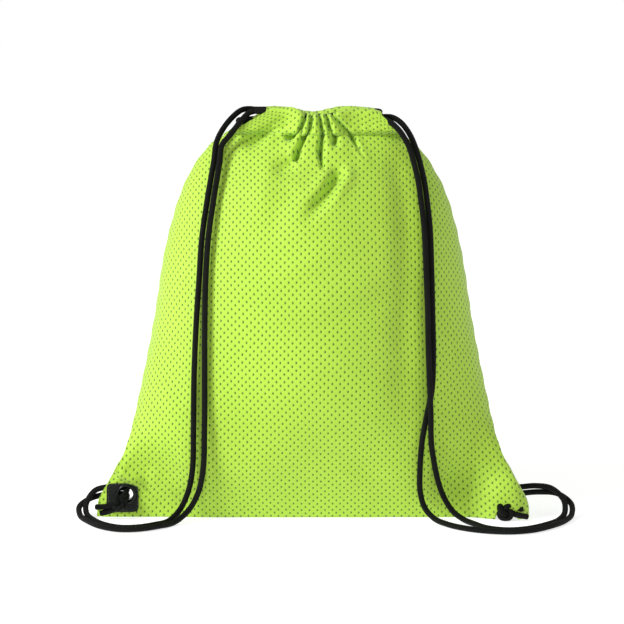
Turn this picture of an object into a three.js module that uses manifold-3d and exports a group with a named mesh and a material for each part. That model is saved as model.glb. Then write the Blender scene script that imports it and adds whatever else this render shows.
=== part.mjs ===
// A drawstring backpack, stuffed and standing: two cloth panels, a cord channel along each side of the
// mouth, two drawstrings that leave the channels as shoulder straps and are knotted through an eyelet
// at each bottom corner.
// Millimetres. +X to the bag's right as seen from the strap side, -Y towards that side, +Z up.
// The origin is on the floor, in the middle of the bag.
import * as THREE from 'three';
import { mergeVertices } from 'three/addons/utils/BufferGeometryUtils.js';
import Module from 'manifold-3d';

// Driving dimensions of the bag.
const bagWidth = 340; // from corner to corner along the bottom edge
const bagHeight = 320; // from the floor to the fold of the rim
const bellyDepth = 142; // from front to back where the bag is fullest
const clothWall = 2;
const layerGap = 0.4; // between layers that touch
const allowanceThickness = 1.4; // the turned-in edges of both panels
const bulgePower = 2.2; // how late the cloth's swell drops towards the side seams
const bulgeRoundness = 0.62; // and how round it is there
const liftStart = 0.5; // share of the way to a side seam where the cloth starts to rise to the seam's height
const seamBand = 0.8; // share of the way to a side seam where its wall starts to turn square to the seam
const flapRadius = 27; // the cloth is flat this near to an eyelet's axis
const flapEnd = 62; // and fully swollen this far from it

// The rim: one channel on each side of the mouth, gathered on the cords.
const rimHeight = 21; // from the stitch line to the fold
const rimThickness = 8;
const rimWall = 1;
const rimSeat = 1.8; // between a panel's top edge and its channel, room for the channel to tip
const rimDip = 6; // how far the gathered middle sits below both ends
const dipReach = 26; // half of the dipped length
const mouthWidth = 78; // length of the fold
const rimFoot = 120; // length of a channel's lower edge
const stitchLineWidth = 140;
const mouthGap = 9; // the slit between the two channels
const threadDiameter = 1;
const threadHeight = 3; // above the stitch line
const threadEnd = 5; // from a channel's end to its thread

// Cords.
const cordDiameter = 4.5;
const cordSides = 8;
const cordStep = 2.4; // length of one facet, in diameters
const bendStep = 1; // the same where a cord turns sharply
const cordEndGap = 0.3; // where one stretch of a cord meets the next
const pivotGap = 2.4; // the same at both ends of a strap, which swings about them

// Corners: a flat flap holds a patch on each face, and one eyelet with its washer through all of it.
const eyeletInset = 23.5; // from the bag's end to the eyelet's axis
const eyeletHeight = 18.5; // from the floor to the eyelet's axis
const eyeletBore = 10.6;
const eyeletWall = 0.6;
const eyeletFlange = 16; // outer diameter
const eyeletCrest = 1.8; // how far the rolled flange stands out
const flareWidth = 1; // how far the rolled rear end reaches over the washer
const flareHeight = 0.7;
const washerThickness = 0.8;
const metalGap = 0.3;
const patchInset = 20.5; // from the bag's end to the patch's middle
const patchMiddle = 15.5; // from the floor to the patch's middle
const patchWidth = 25;
const patchHeight = 23;
const patchThickness = 1;
const patchCorner = 4; // corner radius
const knotRadius = 6.2;

// Facets.
const columns = 20; // across a panel
const rows = 18; // up a panel
const latheSides = 20;
const knotSides = 14;
const rimSteps = 10;
const roundSteps = 3; // in a quarter of a round edge
const crestSteps = 6; // across an eyelet's flange
const weldReach = 1e-4;
const probeStep = 0.01; // for the cloth's direction, as a share of a panel
const sideRows = [7, rows - 1]; // of a panel, that a side seam's turned-in edge spans
const sideColumns = [1, 2];
const bottomColumns = [6, columns - 6];

// Colours.
const clothColour = 0xabd544;
const cordColour = 0x141814;
const metalColour = 0x4a4d50;
const patchColour = 0x1d2226;

const wasm = await Module();
wasm.setup();

const halfWidth = bagWidth / 2;
const stitchHeight = bagHeight - rimHeight;
const panelTop = stitchHeight - rimSeat;
const flapY = -0.28 * bellyDepth;
const halfSeam = clothWall + layerGap / 2; // from the middle of a seam to its cloth's outer face
const lerp = THREE.MathUtils.lerp;
const smoothstep = THREE.MathUtils.smoothstep;

function clothMaterial() {
  return new THREE.MeshStandardMaterial({ color: clothColour, roughness: 0.85, metalness: 0 });
}

function cordMaterial() {
  return new THREE.MeshStandardMaterial({ color: cordColour, roughness: 0.6, metalness: 0 });
}

function metalMaterial() {
  return new THREE.MeshStandardMaterial({ color: metalColour, roughness: 0.3, metalness: 1 });
}

function patchMaterial() {
  return new THREE.MeshStandardMaterial({ color: patchColour, roughness: 0.7, metalness: 0 });
}

// Vertices that only share their place become one vertex, which makes a geometry's surface closed.
function welded(geometry) {
  const bare = geometry.clone();
  bare.deleteAttribute('normal');
  bare.deleteAttribute('uv');
  return mergeVertices(bare, weldReach);
}

function toSolid(geometry) {
  const closed = welded(geometry);
  return new wasm.Manifold(new wasm.Mesh({
    numProp: 3,
    vertProperties: new Float32Array(closed.attributes.position.array),
    triVerts: new Uint32Array(closed.index.array),
  }));
}

function toGeometry(solid) {
  const mesh = solid.getMesh();
  const geometry = new THREE.BufferGeometry();
  geometry.setAttribute('position', new THREE.BufferAttribute(mesh.vertProperties, 3));
  geometry.setIndex(new THREE.BufferAttribute(mesh.triVerts, 1));
  geometry.computeVertexNormals();
  return geometry;
}

function named(name, geometry, material) {
  const mesh = new THREE.Mesh(geometry, material);
  mesh.name = name;
  return mesh;
}

// ---- The shape of the stuffed bag ----
const rimMiddle = (mouthGap + rimThickness) / 2;
const bottomEdge = -0.31 * bellyDepth;
// Three matching curves from the bottom edge to the stitch line, at the same heights in front:
// the side seam, the middle of the front and the middle of the back, which starts along the floor.
const shoulder = stitchLineWidth / 2;
const sideSeam = new THREE.CatmullRomCurve3([
  [1.0, 0.0], [0.99, 0.045], [0.93, 0.11], [0.86, 0.19], [0.805, 0.32], [0.742, 0.5],
  [0.688, 0.69], [0.622, 0.83], [0.553, 0.915], [0.482, 0.97],
].map(([across, up]) => new THREE.Vector3(across * halfWidth, 0, up * panelTop)).concat([
  new THREE.Vector3(shoulder, 0, panelTop),
]));
const seamDepth = [-0.28, -0.28, -0.26, -0.2, -0.12, -0.05, -0.02, -0.01, 0, 0, 0];
const frontDepth = [-0.31, -0.35, -0.405, -0.455, -0.495, -0.5, -0.45, -0.345, -0.24, -0.15];
const backPath = [
  [-0.3, 0], [-0.14, 0], [0.06, 0], [0.27, 0.01], [0.42, 0.08], [0.5, 0.3],
  [0.46, 0.58], [0.36, 0.78], [0.25, 0.89], [0.155, 0.955],
];
const frontMiddle = new THREE.CatmullRomCurve3(frontDepth.map((depth, i) => new THREE.Vector3(
  0, depth * bellyDepth, sideSeam.points[i].z,
)).concat([new THREE.Vector3(0, -rimMiddle - clothWall / 2, panelTop)]));
const backMiddle = new THREE.CatmullRomCurve3(backPath.map(([depth, up]) => new THREE.Vector3(
  0, depth * bellyDepth, up * panelTop,
)).concat([new THREE.Vector3(0, rimMiddle + clothWall / 2, panelTop)]));
backMiddle.points[0].y = bottomEdge + halfSeam + layerGap;
sideSeam.points.forEach((point, i) => {
  point.y = seamDepth[i] * bellyDepth;
});
for (const curve of [sideSeam, frontMiddle, backMiddle]) {
  curve.curveType = 'catmullrom';
}

// A point of the cloth's outer face. side is -1 in front and 1 at the back, across runs from -1 to 1
// between the side seams, and up from 0 at the bottom edge to 1 at the stitch line.
function clothPoint(side, across, up) {
  const seam = sideSeam.getPoint(up);
  const middle = (side < 0 ? frontMiddle : backMiddle).getPoint(up);
  const share = Math.sin(across * Math.PI / 2);
  const edge = Math.abs(share);
  const bulge = (1 - edge ** bulgePower) ** bulgeRoundness;
  const lift = 1 - smoothstep(edge, liftStart, 1);
  const x = share * seam.x;
  const point = new THREE.Vector3(
    x,
    lerp(seam.y + side * halfSeam, middle.y, bulge),
    Math.max(0, lerp(seam.z, middle.z, lift)),
  );
  const reach = Math.hypot(Math.abs(x) - halfWidth + eyeletInset, seam.z - eyeletHeight);
  const flat = 1 - smoothstep(reach, flapRadius, flapEnd);
  point.y = lerp(point.y, flapY + side * halfSeam, flat);
  return point;
}

// The way into the bag from a point of the cloth: across the cloth, and square to the seam at its edge.
function inward(side, across, up) {
  const left = clothPoint(side, Math.max(-1, across - probeStep), up);
  const right = clothPoint(side, Math.min(1, across + probeStep), up);
  const below = clothPoint(side, across, Math.max(0, up - probeStep));
  const above = clothPoint(side, across, Math.min(1, up + probeStep));
  const normal = right.sub(left).cross(above.sub(below)).normalize().multiplyScalar(-side);
  const seamward = new THREE.Vector3(0, -side, 0);
  return seamward.lerp(normal.negate(), 1 - smoothstep(Math.abs(across), seamBand, 1)).normalize();
}

// One layer of a panel between two columns and two rows, from one depth below the outer face to another.
function clothLayer(side, [firstColumn, lastColumn], [firstRow, lastRow], outer, inner) {
  const wide = lastColumn - firstColumn;
  const high = lastRow - firstRow;
  const geometry = new THREE.BoxGeometry(1, 1, 1, wide, 1, high);
  const place = geometry.attributes.position;
  for (let i = 0; i < place.count; i += 1) {
    const across = 2 * (firstColumn + (place.getX(i) + 0.5) * wide) / columns - 1;
    const up = (firstRow + (place.getZ(i) + 0.5) * high) / rows;
    const depth = lerp(outer, inner, 0.5 - side * place.getY(i));
    const point = clothPoint(side, across, up).addScaledVector(inward(side, across, up), depth);
    place.setXYZ(i, point.x, point.y, point.z);
  }
  geometry.computeVertexNormals();
  return geometry;
}

// A round bar along Y, for the holes that an eyelet's barrel passes through.
function barrelHole(x, radius) {
  const bar = new THREE.CylinderGeometry(radius, radius, bellyDepth, latheSides);
  bar.translate(x, flapY, eyeletHeight);
  return toSolid(bar);
}

const eyeletX = halfWidth - eyeletInset;
const barrelRadius = eyeletBore / 2 + eyeletWall;
const holeRadius = barrelRadius + metalGap;
const leftHole = barrelHole(-eyeletX, holeRadius);
const rightHole = barrelHole(eyeletX, holeRadius);

function panel(side) {
  const cloth = toSolid(clothLayer(side, [0, columns], [0, rows], 0, clothWall));
  return toGeometry(cloth.subtract(leftHole).subtract(rightHole));
}

// The turned-in edges lie against the inside of the back panel.
function seamAllowance(acrossSpan, upSpan) {
  const outer = clothWall + layerGap;
  return clothLayer(1, acrossSpan, upSpan, outer, outer + allowanceThickness);
}

// ---- Rim ----
// The dip of the gathered middle, from 1 in the middle to 0 at its reach.
function dip(x) {
  return 1 - smoothstep(Math.abs(x), 0, dipReach);
}

function stadium(path, radius) {
  const reach = rimHeight / 2 - rimThickness / 2;
  path.absarc(0, reach, radius, 0, Math.PI);
  path.absarc(0, -reach, radius, Math.PI, 2 * Math.PI);
  return path;
}

// A flat tube whose ends slope outwards to its longer foot and whose fold dips in the middle.
function rim(side) {
  const section = stadium(new THREE.Shape(), rimThickness / 2);
  section.holes.push(stadium(new THREE.Path(), rimThickness / 2 - rimWall));
  const geometry = new THREE.ExtrudeGeometry(section, {
    depth: 2, steps: rimSteps, bevelEnabled: false, curveSegments: roundSteps,
  });
  geometry.translate(0, 0, -1);
  const place = geometry.attributes.position;
  for (let i = 0; i < place.count; i += 1) {
    const raised = place.getY(i) / rimHeight + 0.5;
    const x = place.getZ(i) * lerp(rimFoot, mouthWidth, raised) / 2;
    const z = stitchHeight + raised * (rimHeight - rimDip * dip(x));
    place.setXYZ(i, x, side * rimMiddle + place.getX(i), z);
  }
  geometry.computeVertexNormals();
  return geometry;
}

function rimThread(side) {
  const half = rimFoot / 2 - threadEnd;
  const thread = new THREE.CylinderGeometry(threadDiameter / 2, threadDiameter / 2, 2 * half, cordSides);
  thread.rotateZ(Math.PI / 2);
  const clear = rimThickness / 2 + threadDiameter / 2 + layerGap;
  thread.translate(0, side * (rimMiddle + clear), stitchHeight + threadHeight);
  return thread;
}

// ---- Corners ----
const frontFace = flapY - halfSeam - layerGap - patchThickness;
const backFace = flapY + halfSeam + layerGap + patchThickness;

function patch(sign, side) {
  const reachX = patchWidth / 2 - patchCorner;
  const reachZ = patchHeight / 2 - patchCorner;
  const outline = new THREE.Shape();
  outline.absarc(reachX, reachZ, patchCorner, 0, Math.PI / 2);
  outline.absarc(-reachX, reachZ, patchCorner, Math.PI / 2, Math.PI);
  outline.absarc(-reachX, -reachZ, patchCorner, Math.PI, 1.5 * Math.PI);
  outline.absarc(reachX, -reachZ, patchCorner, 1.5 * Math.PI, 2 * Math.PI);
  const geometry = new THREE.ExtrudeGeometry(outline, {
    depth: patchThickness, bevelEnabled: false, curveSegments: roundSteps,
  });
  geometry.rotateX(Math.PI / 2);
  const y = side < 0 ? frontFace + patchThickness : backFace;
  geometry.translate(sign * (halfWidth - patchInset), y, patchMiddle);
  return toGeometry(toSolid(geometry).subtract(sign < 0 ? leftHole : rightHole));
}

// A turned piece around an eyelet's axis. Each profile point is a radius and a depth behind frontFace.
function turned(sign, profile) {
  const geometry = new THREE.LatheGeometry(
    profile.map(([radius, depth]) => new THREE.Vector2(radius, depth)), latheSides,
  );
  geometry.translate(sign * eyeletX, frontFace, eyeletHeight);
  return geometry;
}

const bore = eyeletBore / 2;
const flange = eyeletFlange / 2;
const stack = backFace - frontFace;
const washerFace = stack + metalGap;
const flareFace = washerFace + washerThickness + metalGap;

// The flange is a half-round ring in front, and the barrel's rear end is rolled over the washer.
function eyelet(sign) {
  const ringMiddle = (bore + flange) / 2;
  const ringHalf = (flange - bore) / 2;
  const profile = [[bore, flareFace + flareHeight]];
  for (let i = 0; i <= crestSteps; i += 1) {
    const turn = Math.PI * i / crestSteps;
    profile.push([
      ringMiddle - ringHalf * Math.cos(turn),
      -metalGap - eyeletCrest * Math.sin(turn),
    ]);
  }
  profile.push([barrelRadius, -metalGap]);
  profile.push([barrelRadius, flareFace]);
  profile.push([barrelRadius + flareWidth, flareFace]);
  profile.push([barrelRadius + flareWidth, flareFace + flareHeight]);
  profile.push([bore, flareFace + flareHeight]);
  return turned(sign, profile);
}

function washer(sign) {
  return turned(sign, [
    [holeRadius, washerFace + washerThickness],
    [holeRadius, washerFace],
    [flange, washerFace],
    [flange, washerFace + washerThickness],
    [holeRadius, washerFace + washerThickness],
  ]);
}

// ---- Drawstrings ----
// Each drawstring is fixed at one corner. It runs up to the mouth as one half of a strap, along the front
// channel, round the far end of the mouth, back along the other channel and down as the strap's other half.
// The points of each half run from its channel down to its eyelet.
const leftFrontStrand = {
  shoulder: [
    [-46, -8.5, 316.4], [-50, -9.6, 315.1], [-55, -13.2, 310.5],
    [-60.5, -16.2, 303.8], [-66, -18.7, 297],
  ],
  strap: [
    [-70.8, -20.3, 291], [-72.6, -24.8, 278], [-74.6, -31, 265], [-76.8, -37, 251],
    [-80.8, -46.5, 222], [-82.8, -53, 190], [-83.5, -58.5, 155], [-83.7, -62.6, 115],
    [-84, -64.4, 75], [-85.3, -62.5, 43], [-89.5, -58.5, 23], [-96.5, -59.5, 10],
    [-107, -70, 2.6], [-119, -84.3, 2.6], [-134, -93.6, 2.6], [-149, -94.6, 2.6],
    [-163.3, -85, 2.6], [-174.8, -67.5, 2.6], [-182.3, -51, 3.5], [-183.5, -39.5, 8],
    [-176, -30.5, 12], [-165, -30.5, 15.3],
  ],
  eyelet: [
    [-157, -30.8, 16.1], [-152, -30.8, 16.1], [-148.2, -32, 16.1], [-146.5, -36, 16.1],
    [-146.5, -46, 16.1], [-147.5, -49.8, 15.6], [-151, -52, 14],
  ],
};
const leftBackStrand = {
  shoulder: [
    [-46, 8.5, 316.4], [-50, 8.5, 316.8], [-56, 4, 316.2],
    [-63.5, -3.8, 310.8], [-71, -11.8, 301.5],
  ],
  strap: [
    [-75.2, -16.5, 292.5], [-77.2, -21.8, 278], [-79.4, -28, 265], [-81.7, -34, 251],
    [-85.8, -43.5, 222], [-88, -50, 190], [-90.3, -55.2, 155], [-92, -59.3, 115],
    [-92.6, -61.7, 75], [-93.6, -60, 43], [-97.5, -56, 23], [-104, -57, 9],
    [-112, -66, 2.6], [-122.5, -79.5, 2.6], [-135.5, -88, 2.6], [-148, -89, 2.6],
    [-159.8, -80.8, 2.6], [-170.2, -65, 2.6], [-177.2, -50, 4.5], [-178.2, -39.5, 10.5],
    [-172, -32, 18.8], [-164, -30.6, 21.2],
  ],
  eyelet: [
    [-157, -30.8, 21], [-152, -30.8, 20.9], [-148.2, -32, 20.9], [-146.5, -36, 20.9],
    [-146.5, -46, 20.9], [-147.5, -50, 19.5], [-151, -52, 16],
  ],
};
const leftLoop = {
  frontRun: [
    [-45.2, -8.5, 316.4], [-28, -8.5, 315.9], [-14, -8.5, 312.7],
    [0, -8.5, 310.4], [14, -8.5, 312.7], [28, -8.5, 315.5],
  ],
  bight: [[47, -8.5, 315.1], [50.8, -6.3, 315.1], [52.3, 0, 315.1], [50.8, 6.3, 315.1]],
  backRun: [
    [47, 8.5, 315.1], [28, 8.5, 315.5], [14, 8.5, 312.7],
    [0, 8.5, 310.4], [-14, 8.5, 312.7], [-28, 8.5, 315.9],
  ],
  end: [[-45.2, 8.5, 316.4]],
};
const rightFrontStrand = {
  shoulder: [
    [52, -8.5, 310.2], [56.5, -9.5, 309.7], [62, -13.4, 306.8],
    [67.6, -17.2, 301.5], [71.8, -19.8, 295.3],
  ],
  strap: [
    [74.8, -21.2, 289.5], [78.5, -24.5, 277], [81.6, -30.5, 264], [83.5, -37, 250],
    [86, -45.5, 228], [87.2, -52, 200], [88.5, -58.5, 165], [89.3, -63, 130],
    [90.3, -66, 105], [91, -67.8, 85], [91.5, -66.5, 65], [94, -62.5, 48],
    [98, -57.5, 30], [103, -55, 17], [109.5, -57, 7.5], [117, -63, 3],
    [125, -77, 2.6], [133, -89.5, 2.6], [143, -96, 2.6], [153, -97.2, 2.6],
    [165.5, -92.5, 2.6], [179.5, -80.3, 2.6], [191.5, -63, 2.6], [197.6, -47, 5.5],
    [197, -36.5, 13], [188, -31, 20.5], [176, -30.2, 22.3], [165, -30.5, 21.6],
  ],
  eyelet: [
    [157, -30.8, 21], [152, -30.8, 20.9], [148.2, -32, 20.9], [146.5, -36, 20.9],
    [146.5, -46, 20.9], [147, -50.5, 18], [148.5, -52.5, 12],
  ],
};
const rightBackStrand = {
  shoulder: [
    [52, 8.5, 310.2], [56.5, 8, 310.6], [62.5, 3.5, 310.4],
    [69.3, -4, 306.5], [75.3, -12, 298.8],
  ],
  strap: [
    [79.3, -17.5, 290], [83.3, -21, 277], [86.3, -27, 264], [88.3, -33.5, 250],
    [90.5, -42.2, 228], [91.5, -48.5, 200], [92.3, -54.5, 165], [93, -58.5, 130],
    [92, -61, 105], [88, -63.5, 85], [84.5, -64.5, 65], [83, -63.5, 42],
    [83.5, -60, 24], [87, -59.5, 11.5], [94, -66, 4.5], [103.5, -77.5, 2.6],
    [117, -91.5, 2.6], [133, -99.8, 2.6], [151, -102.6, 2.6], [168, -97.5, 2.6],
    [183.3, -84, 2.6], [196.2, -65.5, 2.6], [203, -47.5, 4], [203, -35, 9.5],
    [193, -27.5, 15.5], [178, -28.5, 17], [166, -30, 16.5],
  ],
  eyelet: [
    [157, -30.8, 16.1], [152, -30.8, 16.1], [148.2, -32, 16.1], [146.5, -36, 16.1],
    [146.5, -46, 16.1], [147.2, -50.3, 13.8], [149.5, -52.5, 9.5],
  ],
};
const rightLoop = {
  frontRun: [
    [51.4, -8.5, 310.2], [28, -8.5, 310.2], [14, -8.5, 307.6],
    [0, -8.5, 305.2], [-14, -8.5, 307.6], [-28, -8.5, 309.6],
  ],
  bight: [[-53.5, -8.5, 308.5], [-57, -6.3, 308.4], [-58.4, 0, 308.2], [-57, 6.3, 308.4]],
  backRun: [
    [-53.5, 8.5, 308.5], [-28, 8.5, 309.6], [-14, 8.5, 307.6],
    [0, 8.5, 305.2], [14, 8.5, 307.6], [28, 8.5, 310.2],
  ],
  end: [[51.4, 8.5, 310.2]],
};
const leftKnot = [-152, -52.3, 13.8];
const leftTails = [[[-156, -52.5, 12], [-169, -53, 10.5]], [[-155, -52, 9.5], [-166, -52, 5.5]]];
const rightKnot = [150.5, -53.5, 7.2];
const rightTails = [[[154, -54, 6], [167, -55.5, 3.2]], [[153, -53, 9], [163, -52.5, 8.8]]];

// A length of cord along a route, from one of its points to another.
class Stretch extends THREE.Curve {
  constructor(route, first, last, startGap, endGap) {
    super();
    const spans = route.points.length - 1;
    const startSpan = route.points[first].distanceTo(route.points[first + 1]);
    const endSpan = route.points[last].distanceTo(route.points[last - 1]);
    this.route = route;
    this.start = (first + startGap / startSpan) / spans;
    this.end = (last - endGap / endSpan) / spans;
  }

  getPoint(t, target = new THREE.Vector3()) {
    return this.route.getPoint(lerp(this.start, this.end, t), target);
  }
}

function cordTube(curve, step = cordStep) {
  const ring = [];
  for (let i = 0; i < cordSides; i += 1) {
    const turn = 2 * Math.PI * i / cordSides;
    ring.push(new THREE.Vector2(Math.cos(turn), Math.sin(turn)).multiplyScalar(cordDiameter / 2));
  }
  return new THREE.ExtrudeGeometry(new THREE.Shape(ring), {
    extrudePath: curve,
    steps: Math.max(2, Math.ceil(curve.getLength() / (step * cordDiameter))),
    bevelEnabled: false,
  });
}

function toCurve(points) {
  return new THREE.CatmullRomCurve3(points.map((point) => new THREE.Vector3(...point)));
}

// The tubes of a route whose points are grouped by stretch: each stretch ends where the next one starts.
function stretches(groups) {
  const route = toCurve(Object.values(groups).flat());
  const tubes = {};
  let first = 0;
  for (const [name, points] of Object.entries(groups)) {
    const last = Math.min(first + points.length, route.points.length - 1);
    if (last > first) {
      const step = name === 'strap' || name.endsWith('Run') ? cordStep : bendStep;
      const gap = name === 'strap' ? pivotGap : cordEndGap / 2;
      tubes[name] = cordTube(new Stretch(route, first, last, gap, gap), step);
    }
    first = last;
  }
  return tubes;
}

// The knot, its cut ends and the two halves of the cord that come to it through the eyelet.
function knot(centre, tails, passes) {
  const ball = new THREE.SphereGeometry(knotRadius, knotSides, knotSides / 2);
  ball.rotateX(Math.PI / 2);
  ball.translate(...centre);
  let whole = toSolid(ball);
  for (const points of tails) {
    whole = whole.add(toSolid(cordTube(toCurve(points))));
  }
  for (const pass of passes) {
    whole = whole.add(toSolid(pass));
  }
  return toGeometry(whole);
}

// ---- The object ----
const group = new THREE.Group();
group.add(named('front_panel', panel(-1), clothMaterial()));
group.add(named('back_panel', panel(1), clothMaterial()));
group.add(named('front_rim', rim(-1), clothMaterial()));
group.add(named('back_rim', rim(1), clothMaterial()));
group.add(named('front_rim_thread', rimThread(-1), clothMaterial()));
group.add(named('back_rim_thread', rimThread(1), clothMaterial()));

const leftSeam = seamAllowance(sideColumns, sideRows);
const rightSeam = seamAllowance(sideColumns.map((column) => columns - column).reverse(), sideRows);
const bottomSeam = seamAllowance(bottomColumns, [0, 1]);
group.add(named('left_seam_allowance', leftSeam, clothMaterial()));
group.add(named('right_seam_allowance', rightSeam, clothMaterial()));
group.add(named('bottom_seam_allowance', bottomSeam, clothMaterial()));

for (const [name, sign] of [['left', -1], ['right', 1]]) {
  group.add(named(`${name}_front_patch`, patch(sign, -1), patchMaterial()));
  group.add(named(`${name}_back_patch`, patch(sign, 1), patchMaterial()));
  group.add(named(`${name}_eyelet`, eyelet(sign), metalMaterial()));
  group.add(named(`${name}_eyelet_washer`, washer(sign), metalMaterial()));
}

function addDrawstring(name, frontStrand, backStrand, loop, centre, tails) {
  const front = stretches(frontStrand);
  const back = stretches(backStrand);
  const gathered = stretches(loop);
  group.add(named(`${name}_cord_front_run`, gathered.frontRun, cordMaterial()));
  group.add(named(`${name}_cord_bight`, gathered.bight, cordMaterial()));
  group.add(named(`${name}_cord_back_run`, gathered.backRun, cordMaterial()));
  group.add(named(`${name}_shoulder_front_strand`, front.shoulder, cordMaterial()));
  group.add(named(`${name}_shoulder_back_strand`, back.shoulder, cordMaterial()));
  group.add(named(`${name}_strap_front_strand`, front.strap, cordMaterial()));
  group.add(named(`${name}_strap_back_strand`, back.strap, cordMaterial()));
  group.add(named(`${name}_knot`, knot(centre, tails, [front.eyelet, back.eyelet]), cordMaterial()));
}

addDrawstring('left', leftFrontStrand, leftBackStrand, leftLoop, leftKnot, leftTails);
addDrawstring('right', rightFrontStrand, rightBackStrand, rightLoop, rightKnot, rightTails);

export default group;
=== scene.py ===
import math

import bpy
import numpy as np
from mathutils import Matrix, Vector


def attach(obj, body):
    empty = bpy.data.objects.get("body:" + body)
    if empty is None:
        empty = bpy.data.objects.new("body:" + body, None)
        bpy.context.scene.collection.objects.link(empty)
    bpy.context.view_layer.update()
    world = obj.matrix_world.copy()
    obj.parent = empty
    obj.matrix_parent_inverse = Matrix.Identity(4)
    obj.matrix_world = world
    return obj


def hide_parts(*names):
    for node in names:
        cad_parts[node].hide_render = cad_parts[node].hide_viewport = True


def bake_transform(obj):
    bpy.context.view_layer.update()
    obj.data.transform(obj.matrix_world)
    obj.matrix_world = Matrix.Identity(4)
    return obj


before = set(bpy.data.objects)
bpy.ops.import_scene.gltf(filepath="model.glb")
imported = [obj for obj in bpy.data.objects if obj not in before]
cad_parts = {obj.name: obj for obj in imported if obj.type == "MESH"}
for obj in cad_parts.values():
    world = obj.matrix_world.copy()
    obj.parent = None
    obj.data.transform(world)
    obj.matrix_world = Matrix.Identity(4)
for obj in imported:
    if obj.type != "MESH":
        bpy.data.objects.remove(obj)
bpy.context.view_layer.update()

scene = bpy.context.scene
scene.view_settings.view_transform = "Standard"
mm = 0.001


# Camera

view = {"distance": 2.2, "elevation": 9.0, "aimHeight": 0.157, "lens": 160.2, "sensor": 36,
        "shift": (-0.0016, -0.0013), "clip": (0.05, 60)}


def addCamera(settings):
    tilt = math.radians(settings["elevation"])
    data = bpy.data.cameras.new("camera")
    data.sensor_width = settings["sensor"]
    data.lens = settings["lens"]
    data.shift_x, data.shift_y = settings["shift"]
    data.clip_start, data.clip_end = settings["clip"]
    camera = bpy.data.objects.new("camera", data)
    camera.location = (0, -settings["distance"] * math.cos(tilt),
                       settings["aimHeight"] + settings["distance"] * math.sin(tilt))
    aim = Vector((0, 0, settings["aimHeight"])) - camera.location
    camera.rotation_euler = aim.to_track_quat("-Z", "Y").to_euler()
    scene.collection.objects.link(camera)
    scene.camera = camera


addCamera(view)
print("camera set")


# Helpers for curves and grids

def smooth(value, low, high):
    # 0 below low, 1 above high and the cubic 3tt - 2ttt between them
    t = np.clip((value - low) / (high - low), 0, 1)
    return t * t * (3 - 2 * t)


def lerp(a, b, t):
    return a + (b - a) * t


def hermite(p1, p2, m1, m2, t):
    return ((2 * t**3 - 3 * t**2 + 1) * p1 + (t**3 - 2 * t**2 + t) * m1
            + (-2 * t**3 + 3 * t**2) * p2 + (t**3 - t**2) * m2)


def evenCurve(points, t):
    # uniform Catmull-Rom curve through the points, t running from 0 to 1 over all of its spans
    points = np.asarray(points, float)
    last = len(points) - 1
    padded = np.vstack([2 * points[0] - points[1], points, 2 * points[-1] - points[-2]])
    place = np.clip(np.asarray(t, float), 0, 1) * last
    span = np.minimum(place.astype(int), last - 1)
    part = (place - span)[..., None]
    p0, p1, p2, p3 = (padded[span + k] for k in range(4))
    return hermite(p1, p2, (p2 - p0) / 2, (p3 - p1) / 2, part)


def cordCurve(points, step):
    # centripetal Catmull-Rom curve through the points, then stations at equal distances along it
    points = np.asarray(points, float)
    padded = np.vstack([2 * points[0] - points[1], points, 2 * points[-1] - points[-2]])
    gap = np.linalg.norm(np.diff(padded, axis=0), axis=1)[:, None] ** 0.5
    p0, p1, p2, p3 = padded[:-3], padded[1:-2], padded[2:-1], padded[3:]
    d0, d1, d2 = gap[:-2], gap[1:-1], gap[2:]
    m1 = ((p1 - p0) / d0 - (p2 - p0) / (d0 + d1) + (p2 - p1) / d1) * d1
    m2 = ((p2 - p1) / d1 - (p3 - p1) / (d1 + d2) + (p3 - p2) / d2) * d1
    t = np.linspace(0, 1, 24, endpoint=False)[None, :, None]
    dense = hermite(p1[:, None], p2[:, None], m1[:, None], m2[:, None], t).reshape(-1, 3)
    return evenStations(np.vstack([dense, points[-1]]), step)


def unit(vectors):
    return vectors / np.maximum(np.linalg.norm(vectors, axis=-1), 1e-9)[..., None]


def distancesAlong(line):
    return np.concatenate([[0], np.cumsum(np.linalg.norm(np.diff(line, axis=0), axis=1))])


def evenStations(line, step):
    # points at equal distances along a line of points
    along = distancesAlong(line)
    at = np.linspace(0, along[-1], max(3, round(along[-1] / step) + 1))
    return np.stack([np.interp(at, along, line[:, k]) for k in range(3)], axis=1)


def lengthOf(line):
    return float(np.linalg.norm(np.diff(line, axis=0), axis=1).sum())


def gridFaces(rows, columns, wrapRows=False, wrapColumns=False):
    # quads between neighbouring rows and columns of a grid of vertices
    index = np.arange(rows * columns).reshape(rows, columns)
    if wrapRows:
        index = np.vstack([index, index[:1]])
    if wrapColumns:
        index = np.hstack([index, index[:, :1]])
    return np.stack([index[:-1, :-1], index[:-1, 1:], index[1:, 1:], index[1:, :-1]], axis=-1).reshape(-1, 4)


def makeMesh(name, points, faces, material, uv=None):
    # uv holds one pair for each vertex, or one for each corner of each face
    mesh = bpy.data.meshes.new(name)
    corners = np.concatenate([np.asarray(f).ravel() for f in faces]).astype(np.int32)
    sizes = np.concatenate([np.full(len(f), np.asarray(f).shape[1]) for f in faces]).astype(np.int32)
    mesh.vertices.add(len(points))
    mesh.vertices.foreach_set("co", np.asarray(points, np.float32).ravel())
    mesh.loops.add(len(corners))
    mesh.loops.foreach_set("vertex_index", corners)
    mesh.polygons.add(len(sizes))
    mesh.polygons.foreach_set("loop_start", np.concatenate([[0], np.cumsum(sizes)[:-1]]).astype(np.int32))
    mesh.polygons.foreach_set("use_smooth", np.ones(len(sizes), bool))
    mesh.update(calc_edges=True)
    if uv is not None:
        layer = mesh.uv_layers.new(name="flatPlace")
        values = uv if len(uv) == len(corners) else uv[corners]
        layer.data.foreach_set("uv", np.asarray(values, np.float32).ravel())
    mesh.validate()
    mesh.materials.append(material)
    piece = bpy.data.objects.new(name, mesh)
    scene.collection.objects.link(piece)
    return piece


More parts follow.
